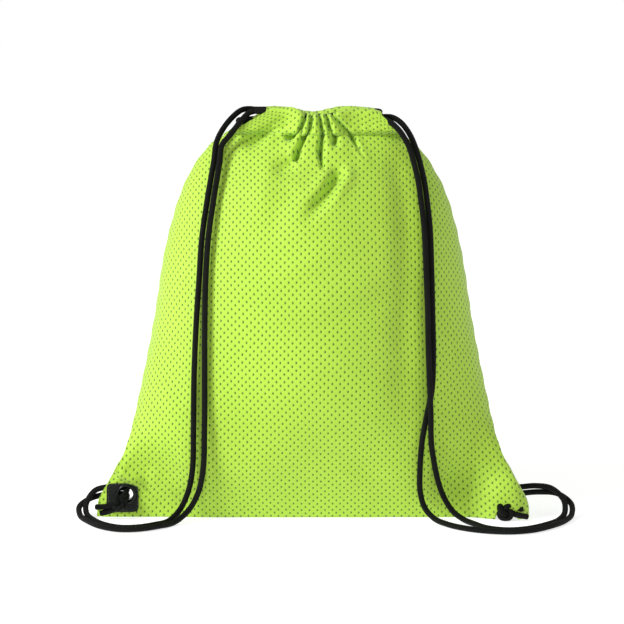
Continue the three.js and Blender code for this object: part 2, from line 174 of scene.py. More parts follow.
# Node groups and materials

def newGroup(name, numbers, made):
    # a node group that takes a place and these numbers and makes other numbers
    group = bpy.data.node_groups.new(name, "ShaderNodeTree")
    group.interface.new_socket("place", in_out="INPUT", socket_type="NodeSocketVector")
    for label, value in numbers.items():
        socket = group.interface.new_socket(label, in_out="INPUT", socket_type="NodeSocketFloat")
        socket.default_value = value
    for label in made:
        group.interface.new_socket(label, in_out="OUTPUT", socket_type="NodeSocketFloat")
    return group, group.nodes.new("NodeGroupInput").outputs, group.nodes.new("NodeGroupOutput").inputs


def feed(tree, socket, value):
    if isinstance(value, (int, float, tuple)):
        socket.default_value = value
    else:
        tree.links.new(value, socket)


def mathNode(tree, operation, *values):
    node = tree.nodes.new("ShaderNodeMath")
    node.operation = operation
    for socket, value in zip(node.inputs, values):
        feed(tree, socket, value)
    return node.outputs[0]


def times(tree, a, b):
    return mathNode(tree, "MULTIPLY", a, b)


def rangeNode(tree, value, low, high, start=0.0, end=1.0):
    node = tree.nodes.new("ShaderNodeMapRange")
    node.interpolation_type = "SMOOTHSTEP"
    for label, given in (("Value", value), ("From Min", low), ("From Max", high),
                         ("To Min", start), ("To Max", end)):
        feed(tree, node.inputs[label], given)
    return node.outputs["Result"]


def mixColour(tree, share, first, second):
    node = tree.nodes.new("ShaderNodeMix")
    node.data_type = "RGBA"
    feed(tree, node.inputs["Factor"], share)
    feed(tree, node.inputs[6], first)
    feed(tree, node.inputs[7], second)
    return node.outputs[2]


def noiseNode(tree, place, scale, detail):
    node = tree.nodes.new("ShaderNodeTexNoise")
    for label, value in (("Vector", place), ("Scale", scale), ("Detail", detail)):
        feed(tree, node.inputs[label], value)
    return node.outputs["Fac"]


def splitPlace(tree, place):
    node = tree.nodes.new("ShaderNodeSeparateXYZ")
    tree.links.new(place, node.inputs[0])
    return node.outputs[0], node.outputs[1]


def scaled(tree, share, whole, size):
    # a share of a whole, in halves of a size
    return mathNode(tree, "DIVIDE", times(tree, share, whole), times(tree, size, 0.5))


def perforationGroup():
    # oval holes in staggered rows, on a flat place in metres; the hole mask says where painted shade of the
    # bag's inside is laid, and the rim mask gives a painted shade ring round each hole as well as the bump
    group, given, made = newGroup("perforation", {
        "pitch": 0.006, "row gap": 0.003, "hole width": 0.0011, "hole height": 0.0016,
    }, ["holeShade", "rim"])
    across, up = splitPlace(group, given["place"])
    row = mathNode(group, "DIVIDE", up, given["row gap"])
    odd = mathNode(group, "FLOORED_MODULO", mathNode(group, "FLOOR", row), 2.0)
    column = mathNode(group, "ADD", mathNode(group, "DIVIDE", across, given["pitch"]),
                      times(group, odd, 0.5))
    inRow = mathNode(group, "SUBTRACT", mathNode(group, "FRACT", row), 0.5)
    inColumn = mathNode(group, "SUBTRACT", mathNode(group, "FRACT", column), 0.5)
    wide = scaled(group, inColumn, given["pitch"], given["hole width"])
    high = scaled(group, inRow, given["row gap"], given["hole height"])
    away = mathNode(group, "SQRT", mathNode(group, "ADD", times(group, wide, wide), times(group, high, high)))
    group.links.new(rangeNode(group, away, 0.75, 1.2, 1.0, 0.0), made["holeShade"])
    group.links.new(rangeNode(group, away, 1.0, 1.9, 1.0, 0.0), made["rim"])
    return group


def weaveGroup():
    # crossing threads, one wave along each way of a flat place, and a slow tint
    group, given, made = newGroup("weave", {"thread": 0.0007, "slant": 0.0}, ["height", "tint"])
    across, up = splitPlace(group, given["place"])
    turn = mathNode(group, "DIVIDE", 2 * math.pi, given["thread"])
    slanted = mathNode(group, "ADD", across, times(group, up, given["slant"]))
    first = mathNode(group, "SINE", times(group, slanted, turn))
    second = mathNode(group, "SINE", times(group, up, turn))
    product = times(group, first, second)
    group.links.new(rangeNode(group, product, -1.0, 1.0), made["height"])
    group.links.new(noiseNode(group, given["place"], 900, 3), made["tint"])
    return group


def braidGroup():
    # plaited strands: two sets of slanting waves, u once round the cord and v along it in diameters; the
    # groove mask marks the low places between strands, where painted shade is laid
    group, given, made = newGroup("braid", {"strands": 8.0, "lay": 1.5}, ["height", "grooveShade"])
    around, along = splitPlace(group, given["place"])
    turned = times(group, around, given["strands"])
    laid = times(group, along, given["lay"])
    waves = []
    for sign in ("ADD", "SUBTRACT"):
        phase = times(group, mathNode(group, sign, turned, laid), math.pi)
        waves.append(mathNode(group, "ABSOLUTE", mathNode(group, "SINE", phase)))
    both = mathNode(group, "ADD", turned, laid)
    over = mathNode(group, "SINE", times(group, both, 2 * math.pi))
    share = rangeNode(group, over, -0.2, 0.2)
    height = mathNode(group, "ADD", times(group, waves[0], share),
                      times(group, waves[1], mathNode(group, "SUBTRACT", 1.0, share)))
    group.links.new(height, made["height"])
    group.links.new(rangeNode(group, height, 0.0, 0.55, 1.0, 0.0), made["grooveShade"])
    return group


def wearGroup():
    # slow unevenness of a dyed surface, on object coordinates
    group, given, made = newGroup("unevenDye", {"scale": 14.0}, ["amount"])
    noise = noiseNode(group, given["place"], given["scale"], 4)
    group.links.new(rangeNode(group, noise, 0.3, 0.7), made["amount"])
    return group


perforation, weave, braid, unevenDye = perforationGroup(), weaveGroup(), braidGroup(), wearGroup()


def placed(tree, group, place, **values):
    node = tree.nodes.new("ShaderNodeGroup")
    node.node_tree = group
    tree.links.new(place, node.inputs["place"])
    for label, value in values.items():
        node.inputs[label.replace("_", " ")].default_value = value
    return node.outputs


def startMaterial(name, roughness, **sockets):
    material = bpy.data.materials.new(name)
    material.use_nodes = True
    tree = material.node_tree
    shader = tree.nodes["Principled BSDF"]
    shader.inputs["Roughness"].default_value = roughness
    for label, value in sockets.items():
        shader.inputs[label.replace("_", " ")].default_value = value
    uv = tree.nodes.new("ShaderNodeUVMap")
    uv.uv_map = "flatPlace"
    where = tree.nodes.new("ShaderNodeTexCoord")
    return material, tree, shader, uv.outputs[0], where.outputs["Object"]


def dress(tree, shader, colour, height, distance):
    # the shader's colour, and a bump this far in metres
    tree.links.new(colour, shader.inputs["Base Color"])
    bump = tree.nodes.new("ShaderNodeBump")
    bump.inputs["Strength"].default_value = 1.0
    bump.inputs["Distance"].default_value = distance
    tree.links.new(height, bump.inputs["Height"])
    tree.links.new(bump.outputs[0], shader.inputs["Normal"])


# the hole colour is painted shade of the bag's dark inside seen through each hole, and the hole rim colour is
# painted shade round each hole's edge
meshCloth = {
    "colour": (0.40, 0.64, 0.040, 1), "light": (0.455, 0.71, 0.054, 1), "holeShade": (0.030, 0.105, 0.002, 1),
    "speckle": (0.30, 0.54, 0.03, 1), "holeEdgeShade": (0.25, 0.47, 0.02, 1), "sheen": (0.9, 1.0, 0.75, 1),
    "pitch": 0.006, "rowGap": 0.00305, "holeWidth": 0.00112, "holeHeight": 0.00175,
}


def clothMaterial(name, settings):
    material, tree, shader, uv, place = startMaterial(
        name, 0.62, Sheen_Weight=0.35, Sheen_Roughness=0.45, Sheen_Tint=settings["sheen"],
        Specular_IOR_Level=0.42)
    holes = placed(tree, perforation, uv, pitch=settings["pitch"], row_gap=settings["rowGap"],
                   hole_width=settings["holeWidth"], hole_height=settings["holeHeight"])
    knit = placed(tree, weave, uv, thread=0.0008, slant=0.5)
    dye = placed(tree, unevenDye, place, scale=16.0)
    base = mixColour(tree, times(tree, dye["amount"], 0.5), settings["colour"], settings["light"])
    speckle = times(tree, rangeNode(tree, knit["tint"], 0.35, 0.7), 0.22)
    base = mixColour(tree, speckle, base, settings["speckle"])
    # painted shade: a darker ring round each hole, then the hole itself darkened as the shaded inside seen
    # through it
    base = mixColour(tree, times(tree, holes["rim"], 0.4), base, settings["holeEdgeShade"])
    base = mixColour(tree, times(tree, holes["holeShade"], 0.92), base, settings["holeShade"])
    relief = mathNode(tree, "SUBTRACT", times(tree, knit["height"], 0.18), holes["rim"])
    dress(tree, shader, base, relief, 0.0004)
    return material


# the groove colour is painted shade for the crevices between the plaits
cordFinish = {"colour": (0.0055, 0.0062, 0.0055, 1), "grooveShade": (0.0008, 0.001, 0.0008, 1),
              "faded": (0.014, 0.015, 0.013, 1)}


def cordMaterial(name, settings):
    material, tree, shader, uv, place = startMaterial(name, 0.6, Specular_IOR_Level=0.10)
    plait = placed(tree, braid, uv, strands=6.0, lay=1.6)
    dye = placed(tree, unevenDye, place, scale=60.0)
    # painted shade: the colour darkens in the crevices between the plaits
    base = mixColour(tree, plait["grooveShade"], settings["colour"], settings["grooveShade"])
    base = mixColour(tree, times(tree, dye["amount"], 0.25), base, settings["faded"])
    dress(tree, shader, base, plait["height"], 0.0006)
    return material


def threadMaterial(name, colour):
    material, tree, shader, _, place = startMaterial(name, 0.6, Sheen_Weight=0.3)
    twist = placed(tree, weave, place, thread=0.0009, slant=1.0)
    dark = tuple(0.6 * c for c in colour[:3]) + (1,)
    base = mixColour(tree, times(tree, twist["height"], 0.4), colour, dark)
    dress(tree, shader, base, twist["height"], 0.0002)
    return material


patchFinish = {"thread": (0.004, 0.005, 0.004, 1), "gap": (0.009, 0.012, 0.009, 1),
               "faded": (0.016, 0.022, 0.014, 1)}


def patchMaterial(name, settings):
    material, tree, shader, uv, place = startMaterial(name, 0.6, Specular_IOR_Level=0.25)
    plain = placed(tree, weave, uv, thread=0.0006)
    dye = placed(tree, unevenDye, place, scale=90.0)
    base = mixColour(tree, plain["height"], settings["thread"], settings["gap"])
    base = mixColour(tree, times(tree, dye["amount"], 0.3), base, settings["faded"])
    dress(tree, shader, base, plain["height"], 0.00015)
    return material


metalFinish = {"dark": (0.020, 0.021, 0.023, 1), "light": (0.045, 0.047, 0.050, 1)}


def metalMaterial(name, settings):
    material, tree, shader, _, place = startMaterial(name, 0.22, Metallic=1.0)
    dye = placed(tree, unevenDye, place, scale=700.0)
    base = mixColour(tree, times(tree, dye["amount"], 0.6), settings["dark"], settings["light"])
    tree.links.new(rangeNode(tree, dye["amount"], 0.0, 1.0, 0.16, 0.34), shader.inputs["Roughness"])
    dress(tree, shader, base, dye["amount"], 0.00002)
    return material


limeMesh = clothMaterial("limeMesh", meshCloth)
blackBraid = cordMaterial("blackBraid", cordFinish)
limeThread = threadMaterial("limeThread", (0.36, 0.60, 0.05, 1))
blackThread = threadMaterial("blackThread", (0.010, 0.011, 0.012, 1))
coatedPatch = patchMaterial("coatedPatch", patchFinish)
blackNickel = metalMaterial("blackNickel", metalFinish)
print("materials made")


# Drawstrings
# Routes in millimetres, each half of a drawstring from its channel down to its eyelet.

# The rings that round off an end are (share of the radius, share of the radius further out).

cordLook = {"diameter": 4.5, "around": 20, "step": 0.9, "plaits": 6, "lay": 1.6, "relief": 0.035,
            "capRings": ((0.8, 0.3), (0.4, 0.46)), "capTip": 0.5}

leftFrontRoute = [
    (-46, -8.5, 316.4), (-50, -9.6, 315.1), (-55, -13.2, 310.5), (-60.5, -16.2, 303.8), (-66, -18.7, 297),
    (-70.8, -20.3, 291), (-72.6, -24.8, 278), (-74.6, -31, 265), (-76.8, -37, 251),
    (-80.8, -46.5, 222), (-82.8, -53, 190), (-83.5, -58.5, 155), (-83.7, -62.6, 115),
    (-84, -64.4, 75), (-85.3, -62.5, 43), (-89.5, -58.5, 23), (-96.5, -59.5, 10),
    (-107, -70, 2.6), (-119, -84.3, 2.6), (-134, -93.6, 2.6), (-149, -94.6, 2.6),
    (-163.3, -85, 2.6), (-174.8, -67.5, 2.6), (-182.3, -51, 3.5), (-183.5, -39.5, 8),
    (-176, -30.5, 12), (-165, -30.5, 15.3), (-157, -30.8, 16.1),
]
leftBackRoute = [
    (-46, 8.5, 316.4), (-50, 8.5, 316.8), (-56, 4, 316.2), (-63.5, -3.8, 310.8), (-71, -11.8, 301.5),
    (-75.2, -16.5, 292.5), (-77.2, -21.8, 278), (-79.4, -28, 265), (-81.7, -34, 251),
    (-85.8, -43.5, 222), (-88, -50, 190), (-90.3, -55.2, 155), (-92, -59.3, 115),
    (-92.6, -61.7, 75), (-93.6, -60, 43), (-97.5, -56, 23), (-104, -57, 9),
    (-112, -66, 2.6), (-122.5, -79.5, 2.6), (-135.5, -88, 2.6), (-148, -89, 2.6),
    (-159.8, -80.8, 2.6), (-170.2, -65, 2.6), (-177.2, -50, 4.5), (-178.2, -39.5, 10.5),
    (-172, -32, 18.8), (-164, -30.6, 21.2), (-157, -30.8, 21),
]
rightFrontRoute = [
    (52, -8.5, 310.2), (56.5, -9.5, 309.7), (62, -13.4, 306.8), (67.6, -17.2, 301.5), (71.8, -19.8, 295.3),
    (74.8, -21.2, 289.5), (78.5, -24.5, 277), (81.6, -30.5, 264), (83.5, -37, 250),
    (86, -45.5, 228), (87.2, -52, 200), (88.5, -58.5, 165), (89.3, -63, 130),
    (90.3, -66, 105), (91, -67.8, 85), (91.5, -66.5, 65), (94, -62.5, 48),
    (98, -57.5, 30), (103, -55, 17), (109.5, -57, 7.5), (117, -63, 3),
    (125, -77, 2.6), (133, -89.5, 2.6), (143, -96, 2.6), (153, -97.2, 2.6),
    (165.5, -92.5, 2.6), (179.5, -80.3, 2.6), (191.5, -63, 2.6), (197.6, -47, 5.5),
    (197, -36.5, 13), (188, -31, 20.5), (176, -30.2, 22.3), (165, -30.5, 21.6), (157, -30.8, 21),
]
rightBackRoute = [
    (52, 8.5, 310.2), (56.5, 8, 310.6), (62.5, 3.5, 310.4), (69.3, -4, 306.5), (75.3, -12, 298.8),
    (79.3, -17.5, 290), (83.3, -21, 277), (86.3, -27, 264), (88.3, -33.5, 250),
    (90.5, -42.2, 228), (91.5, -48.5, 200), (92.3, -54.5, 165), (93, -58.5, 130),
    (92, -61, 105), (88, -63.5, 85), (84.5, -64.5, 65), (83, -63.5, 42),
    (83.5, -60, 24), (87, -59.5, 11.5), (94, -66, 4.5), (103.5, -77.5, 2.6),
    (117, -91.5, 2.6), (133, -99.8, 2.6), (151, -102.6, 2.6), (168, -97.5, 2.6),
    (183.3, -84, 2.6), (196.2, -65.5, 2.6), (203, -47.5, 4), (203, -35, 9.5),
    (193, -27.5, 15.5), (178, -28.5, 17), (166, -30, 16.5), (157, -30.8, 16.1),
]
leftRuns = {
    "front": [(-45.2, -8.5, 316.4), (-28, -8.5, 315.9), (-14, -8.5, 312.7), (0, -8.5, 310.4),
              (14, -8.5, 312.7), (28, -8.5, 315.5), (47, -8.5, 315.1)],
    "bight": [(47, -8.5, 315.1), (50.8, -6.3, 315.1), (52.3, 0, 315.1), (50.8, 6.3, 315.1), (47, 8.5, 315.1)],
    "back": [(47, 8.5, 315.1), (28, 8.5, 315.5), (14, 8.5, 312.7), (0, 8.5, 310.4),
             (-14, 8.5, 312.7), (-28, 8.5, 315.9), (-45.2, 8.5, 316.4)],
}
rightRuns = {
    "front": [(51.4, -8.5, 310.2), (28, -8.5, 310.2), (14, -8.5, 307.6), (0, -8.5, 305.2),
              (-14, -8.5, 307.6), (-28, -8.5, 309.6), (-53.5, -8.5, 308.5)],
    "bight": [(-53.5, -8.5, 308.5), (-57, -6.3, 308.4), (-58.4, 0, 308.2), (-57, 6.3, 308.4),
              (-53.5, 8.5, 308.5)],
    "back": [(-53.5, 8.5, 308.5), (-28, 8.5, 309.6), (-14, 8.5, 307.6), (0, 8.5, 305.2),
             (14, 8.5, 307.6), (28, 8.5, 310.2), (51.4, 8.5, 310.2)],
}


def tubeSurface(line, settings, radius=None):
    # a circle carried along the line square to it, its radius swelling a little over each plait and
    # closing over both ends; u is the share of a turn and v the way along in diameters
    radius = settings["diameter"] / 2 if radius is None else radius
    tangent = unit(np.gradient(line, axis=0))
    side = np.zeros_like(line)
    start = np.cross(tangent[0], (0.31, 0.17, 0.93) if abs(tangent[0][2]) < 0.9 else (1, 0, 0))
    side[0] = unit(start)
    for i in range(1, len(line)):  # the frame is carried from station to station without twist
        side[i] = unit(side[i - 1] - tangent[i] * (side[i - 1] @ tangent[i]))
    other = np.cross(tangent, side)
    along = distancesAlong(line)
    around = settings["around"]
    share = np.arange(around) / around
    turn = 2 * np.pi * share
    v = along / settings["diameter"]
    plait = (np.abs(np.sin(np.pi * (share[None] * settings["plaits"] + v[:, None] * settings["lay"])))
             + np.abs(np.sin(np.pi * (share[None] * settings["plaits"] - v[:, None] * settings["lay"])))) / 2
    swell = radius * (1 + settings["relief"] * (plait - 0.6))
    ring = np.cos(turn)[None, :, None] * side[:, None] + np.sin(turn)[None, :, None] * other[:, None]
    body = line[:, None] + ring * swell[..., None]
    caps = []
    for end, way in ((0, -1), (-1, 1)):  # two shrinking rings round off each end
        caps.append([line[end] + way * tangent[end] * radius * lift + ring[end] * radius * size
                     for size, lift in settings["capRings"]])
    rings = np.concatenate([np.array(caps[0][::-1]), body, np.array(caps[1])])
    count = len(rings)
    tip = settings["capTip"] * radius
    points = np.vstack([rings.reshape(-1, 3), line[0] - tangent[0] * tip, line[-1] + tangent[-1] * tip])
    quads = gridFaces(count, around, wrapColumns=True)
    ids = np.arange(around)
    first = np.stack([np.full(around, count * around), (ids + 1) % around, ids], axis=1)
    lastRow = (count - 1) * around
    last = np.stack([np.full(around, count * around + 1), lastRow + ids, lastRow + (ids + 1) % around],
                    axis=1)
    vRows = np.concatenate([[v[0]] * 2, v, [v[-1]] * 2])
    cornerU = np.tile(np.array([0, 1, 1, 0]), around) / around + np.repeat(share, 4)
    quadUV = np.stack([
        np.tile(cornerU, count - 1),
        np.stack([vRows[:-1], vRows[:-1], vRows[1:], vRows[1:]], axis=1).repeat(around, axis=0).reshape(-1),
    ], axis=1)
    capUV = np.zeros((6 * around, 2))
    capUV[:, 0] = np.concatenate([np.repeat(share, 3), np.repeat(share, 3)])
    capUV[:, 1] = np.concatenate([np.full(3 * around, v[0]), np.full(3 * around, v[-1])])
    return points, [quads, np.vstack([first, last])], np.vstack([quadUV, capUV])


def joinSurfaces(surfaces):
    points, quads, fans, quadUV, fanUV, base = [], [], [], [], [], 0
    for p, (q, f), uv in surfaces:
        points.append(p)
        quads.append(q + base)
        fans.append(f + base)
        quadUV.append(uv[:q.size])
        fanUV.append(uv[q.size:])
        base += len(p)
    return np.vstack(points), [np.vstack(quads), np.vstack(fans)], np.vstack(quadUV + fanUV)


def makeTube(name, line, settings=cordLook, material=blackBraid):
    points, faces, uv = tubeSurface(line, settings)
    return makeMesh(name, points * mm, faces, material, uv)


def strand(name, route, side, half):
    line = cordCurve(route, cordLook["step"])
    piece = makeTube(name, line)
    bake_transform(piece)
    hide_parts(f"{side}_shoulder_{half}_strand", f"{side}_strap_{half}_strand")
    return piece, line


strands = {}
for side, half, route in (("left", "front", leftFrontRoute), ("left", "back", leftBackRoute),
                          ("right", "front", rightFrontRoute), ("right", "back", rightBackRoute)):
    strands[side, half] = strand(f"{side}_{half}_cord", route, side, half)

for side, runs in (("left", leftRuns), ("right", rightRuns)):
    for half, body in (("front", "front_rim"), ("back", "back_rim")):
        run = makeTube(f"{side}_{half}_channel_cord", cordCurve(runs[half], 1.5))
        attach(run, body)
        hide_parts(f"{side}_cord_{half}_run")
    bight = makeTube(f"{side}_cord_turn", cordCurve(runs["bight"], 1.0))
    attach(bight, "bag")
    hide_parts(f"{side}_cord_bight")

knotShape = {
    "left": {"centre": (-151.5, -51.6, 13.2), "size": 3.7, "thick": 2.25, "turn": (1.25, 0.35, 0.25),
             "passes": [[(-157, -30.8, 16.1), (-152, -30.8, 16.1), (-148.2, -32, 16.1),
                         (-146.5, -36, 16.1), (-146.5, -46, 16.1), (-147.5, -49.8, 15.6), (-151, -52, 14)],
                        [(-157, -30.8, 21), (-152, -30.8, 20.9), (-148.2, -32, 20.9),
                         (-146.5, -36, 20.9), (-146.5, -46, 20.9), (-147.5, -50, 19.5), (-151, -52, 16)]],
             "tails": [[(-152, -52, 13), (-156, -52.5, 12), (-163, -53, 10.6), (-169.5, -53, 10.4)],
                       [(-152, -52, 11), (-155, -52, 9), (-160, -52, 6.6), (-166, -52, 5.2)]]},
    "right": {"centre": (150.5, -54.5, 7.6), "size": 4.6, "thick": 2.6, "turn": (1.35, -0.3, 0.5),
              "passes": [[(157, -30.8, 21), (152, -30.8, 20.9), (148.2, -32, 20.9),
                          (146.5, -36, 20.9), (146.5, -46, 20.9), (147, -50.5, 18), (148.5, -52.5, 12)],
                         [(157, -30.8, 16.1), (152, -30.8, 16.1), (148.2, -32, 16.1),
                          (146.5, -36, 16.1), (146.5, -46, 16.1), (147.2, -50.3, 13.8), (149.5, -52.5, 9.5)]],
              "tails": [[(151, -53.5, 7), (154, -54, 6), (160, -55, 4.4), (167.5, -55.5, 3.2)],
                        [(151, -53, 9), (153, -53, 9), (158, -52.8, 9), (163.5, -52.5, 8.8)]]},
}


def knotLine(settings):
    # a two-three torus curve, the loops of a pulled-up overhand knot, turned to face forwards: its point
    # is (2 + cos 3t) cos 2t, (2 + cos 3t) sin 2t, 1.25 sin 3t
    t = np.linspace(0, 2 * np.pi, 97)
    out = 2 + np.cos(3 * t)
    ring = np.stack([out * np.cos(2 * t), out * np.sin(2 * t), 1.25 * np.sin(3 * t)], axis=1)
    ring *= settings["size"] / 2.35
    ax, ay, az = settings["turn"]
    rx = np.array([[1, 0, 0], [0, np.cos(ax), -np.sin(ax)], [0, np.sin(ax), np.cos(ax)]])
    ry = np.array([[np.cos(ay), 0, np.sin(ay)], [0, 1, 0], [-np.sin(ay), 0, np.cos(ay)]])
    rz = np.array([[np.cos(az), -np.sin(az), 0], [np.sin(az), np.cos(az), 0], [0, 0, 1]])
    return ring @ (rz @ ry @ rx).T + np.array(settings["centre"])


for side, settings in knotShape.items():
    loops = tubeSurface(knotLine(settings), cordLook, settings["thick"])
    ends = [tubeSurface(cordCurve(points, 0.8), cordLook)
            for points in settings["passes"] + settings["tails"]]
    points, faces, uv = joinSurfaces([loops] + ends)
    points[:, 2] = np.maximum(points[:, 2], 0.3)
    knot = makeMesh(f"{side}_corner_knot", points * mm, faces, blackBraid, uv)
    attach(knot, "bag")
    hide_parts(f"{side}_knot")
    for half in ("front", "back"):
        piece, line = strands[side, half]
        print(side, half, "cord", round(lengthOf(line)), "mm")


# The stuffed bag's cloth
# Millimetres throughout. Each panel is one sheet from the bottom edge to the stitch line, over the
# channel's fold and back down inside to the stitch line.

bag = {
    "halfWidth": 170, "panelTop": 297.2, "belly": 142, "mouthHalf": 70, "mouthDepth": 9.5, "rimMiddle": 8.5,
    "rimHalf": 4.0, "flapY": -39.76, "halfSeam": 2.2, "seamEdge": 0.45, "eyeletX": 146.5, "eyeletZ": 18.5,
    "thickness": 0.7, "bulgePower": 2.2, "bulgeRoot": 0.62,
}
panelGrid = {"columns": 240, "panelRows": 132, "rimRows": 44}
sideShare = np.array([
    [1.0, 0.0], [0.99, 0.045], [0.93, 0.11], [0.86, 0.19], [0.805, 0.32], [0.742, 0.5],
    [0.688, 0.69], [0.622, 0.83], [0.553, 0.915], [0.482, 0.97],
    [bag["mouthHalf"] / bag["halfWidth"], 1.0],
])
seamDepth = np.array([-0.28, -0.28, -0.26, -0.2, -0.12, -0.05, -0.02, -0.01, 0, 0, 0])
frontDepth = np.array([-0.31, -0.35, -0.405, -0.455, -0.495, -0.5, -0.45, -0.345, -0.24, -0.15,
                       -bag["mouthDepth"] / bag["belly"]])
backShare = np.array([
    [-0.2849, 0], [-0.14, 0], [0.06, 0], [0.27, 0.01], [0.42, 0.08], [0.5, 0.3],
    [0.46, 0.58], [0.36, 0.78], [0.25, 0.89], [0.155, 0.955],
    [bag["mouthDepth"] / bag["belly"], 1.0],
])
bagScale = np.array([bag["halfWidth"], bag["belly"], bag["panelTop"]])
middleX = np.zeros(len(sideShare))
sideLine = np.stack([sideShare[:, 0], seamDepth, sideShare[:, 1]], axis=1) * bagScale
frontLine = np.stack([middleX, frontDepth, sideShare[:, 1]], axis=1) * bagScale
backLine = np.stack([middleX, backShare[:, 0], backShare[:, 1]], axis=1) * bagScale


def bulgeOf(edge):
    # the power curve (1 - e^2.2)^0.62 by which the cloth swells from the seam to the middle line
    return np.maximum(1 - edge ** bag["bulgePower"], 0) ** bag["bulgeRoot"]


def bagSurface(side, across, up):
    # across runs from -1 to 1 between the seams and up from 0 at the bottom edge to 1 at the stitch line:
    # x is a sine share of the seam's x, y swells from the seam towards the middle line, z moves from the
    # seam's height to the middle line's, and near an eyelet the cloth flattens into a flap
    seam = evenCurve(sideLine, up)
    middle = evenCurve(frontLine if side < 0 else backLine, up)
    share = np.sin(across * np.pi / 2)
    edge = np.abs(share)
    bulge = bulgeOf(edge)
    lift = 1 - smooth(edge, 0.5, 1)
    half = lerp(bag["halfSeam"], bag["seamEdge"], smooth(edge, 0.955, 1))
    x = share * seam[..., 0]
    y = lerp(seam[..., 1] + side * half, middle[..., 1], bulge)
    z = np.maximum(0, lerp(seam[..., 2], middle[..., 2], lift))
    reach = np.hypot(np.abs(x) - bag["eyeletX"], seam[..., 2] - bag["eyeletZ"])
    flat = 1 - smooth(reach, 27, 62)
    y = lerp(y, bag["flapY"] + side * half, flat)
    return np.stack([x, y, z], axis=-1)


# the height of the rim's fold along x, and where each ear ends: its foot, its upper end and the height
# of that end
foldHeight = {"x": (-60, -36, -30, -16, -11, -6, 0, 8, 15, 18, 24, 31, 37, 43, 48, 54, 60),
              "z": (316, 318.4, 319.6, 320.0, 318.2, 315.0, 314.4, 315.0, 314.6, 316.4, 317.6, 318.9,
                    318.9, 318.5, 317.9, 316.0, 313)}
earEnds = {"foot": 70.0, "left": 36.5, "leftTop": 316.5, "right": 53.6, "rightTop": 313.0}


def rimSurface(side, across, turn):
    # turn runs from 0 at the stitch line up the outer layer, over the fold and down to 1 at the stitch
    # line inside: the section is a flat loop, closed at its foot, and both ends slope in to the ears
    share = np.sin(across * np.pi / 2)
    edge = np.abs(share)
    outer = turn < 0.5
    climb = np.where(outer, turn, 1 - turn) * 2  # 0 at the stitch line, 1 at the fold
    arc = np.clip((climb - 0.8) / 0.2, 0, 1) * np.pi / 2
    straight = np.clip(climb / 0.8, 0, 1)
    roughX = share * np.where(share < 0, earEnds["left"], earEnds["right"])
    fine = np.linspace(-60, 60, 241)
    rough = np.pad(np.interp(fine, foldHeight["x"], foldHeight["z"]), 4, mode="edge")
    profile = np.convolve(rough, np.ones(9) / 9, mode="valid")
    if side > 0:
        profile = (profile + profile[::-1]) / 2
    high = np.interp(roughX, fine, profile) - bag["rimHalf"]
    z = lerp(bag["panelTop"], high, straight) + bag["rimHalf"] * np.sin(arc)
    ends = []
    for ear in ("left", "right"):
        height = np.clip((z - bag["panelTop"]) / (earEnds[ear + "Top"] - bag["panelTop"]), 0, 1)
        ends.append(lerp(earEnds["foot"], earEnds[ear], height))
    x = share * np.where(share < 0, ends[0], ends[1])
    footY = lerp(bag["seamEdge"], bag["rimMiddle"] + 1.0, bulgeOf(edge))
    opened = smooth(straight, 0.0, 0.3)
    outY = lerp(footY, bag["rimMiddle"] + bag["rimHalf"] * np.cos(arc), opened)
    inY = lerp(footY - 0.9 * smooth(edge, 1.0, 0.9), bag["rimMiddle"] - bag["rimHalf"] * np.cos(arc), opened)
    y = side * np.where(outer, outY, np.maximum(inY, 0.35))
    return np.stack([x, y, z], axis=-1)


def polylineDistance(x, z, path):
    # the distance to the nearest point of a polyline and how far along it that point is, from 0 to 1
    path = np.asarray(path, float)
    best = np.full(x.shape, 1e9)
    place = np.zeros(x.shape)
    for i in range(len(path) - 1):
        a, d = path[i], path[i + 1] - path[i]
        t = np.clip(((x - a[0]) * d[0] + (z - a[1]) * d[1]) / (d @ d), 0, 1)
        away = np.hypot(x - a[0] - t * d[0], z - a[1] - t * d[1])
        nearer = away < best
        best = np.where(nearer, away, best)
        place = np.where(nearer, (i + t) / (len(path) - 1), place)
    return best, place


def foldRelief(x, z, folds):
    # each fold is (points, half width, depth, fade in, fade out): a bell across its line, fading towards
    # its ends over those shares of its length
    total = np.zeros(x.shape)
    for path, width, depth, fadeIn, fadeOut in folds:
        away, place = polylineDistance(x, z, path)
        ends = 1.0
        if fadeIn > 0:
            ends = ends * smooth(place, 0, fadeIn)
        if fadeOut > 0:
            ends = ends * (1 - smooth(place, 1 - fadeOut, 1))
        total = total - depth * np.exp(-(away / width) ** 2) * ends
    return total


